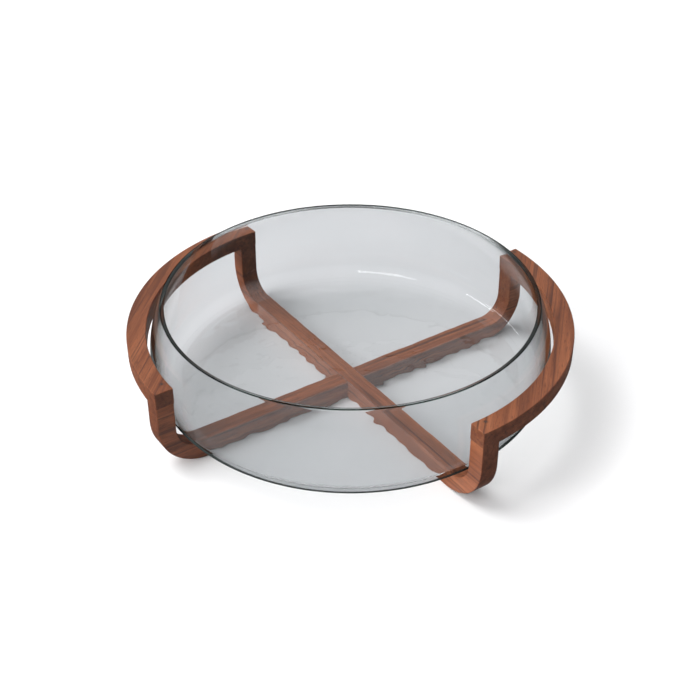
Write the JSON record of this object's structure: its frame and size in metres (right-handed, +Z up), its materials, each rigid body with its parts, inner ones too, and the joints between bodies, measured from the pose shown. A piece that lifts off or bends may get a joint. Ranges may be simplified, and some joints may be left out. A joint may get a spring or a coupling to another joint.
{
  "type": "chip and dip server",
  "caption": "Shallow clear glass serving bowl that lifts out of a low open wooden stand with crossed rails and curved side handles.",
  "frame": {"origin": "middle of the stand, on the surface it stands on", "axes": "+Z up, out of the bowl; +X and -X through the middles of the two handles; -Y is the open front"},
  "size_m": [0.3284, 0.2974, 0.0884],
  "materials": {
    "glass": "clear, polished",
    "wood": "satin oil, reddish brown, straight grain",
    "dowel_wood": "plain, hidden in the joint",
    "pin_steel": "dark, set flush with the handle"
  },
  "bodies": {
    "stand": {"upper_cross_frame": "wood", "lower_cross_frame": "wood", "right_handle": "wood", "left_handle": "wood", "front_left_dowel": "dowel_wood", "front_right_dowel": "dowel_wood", "back_left_dowel": "dowel_wood", "back_right_dowel": "dowel_wood", "front_left_pin": "pin_steel", "front_right_pin": "pin_steel", "back_left_pin": "pin_steel", "back_right_pin": "pin_steel"},
    "bowl": {"glass_bowl": "glass"}
  },
  "joints": [
    {"name": "bowl_lift", "type": "slide", "parent": "stand", "child": "bowl", "axis": [0, 0, 1], "range_m": [0, 0.09]}
  ]
}
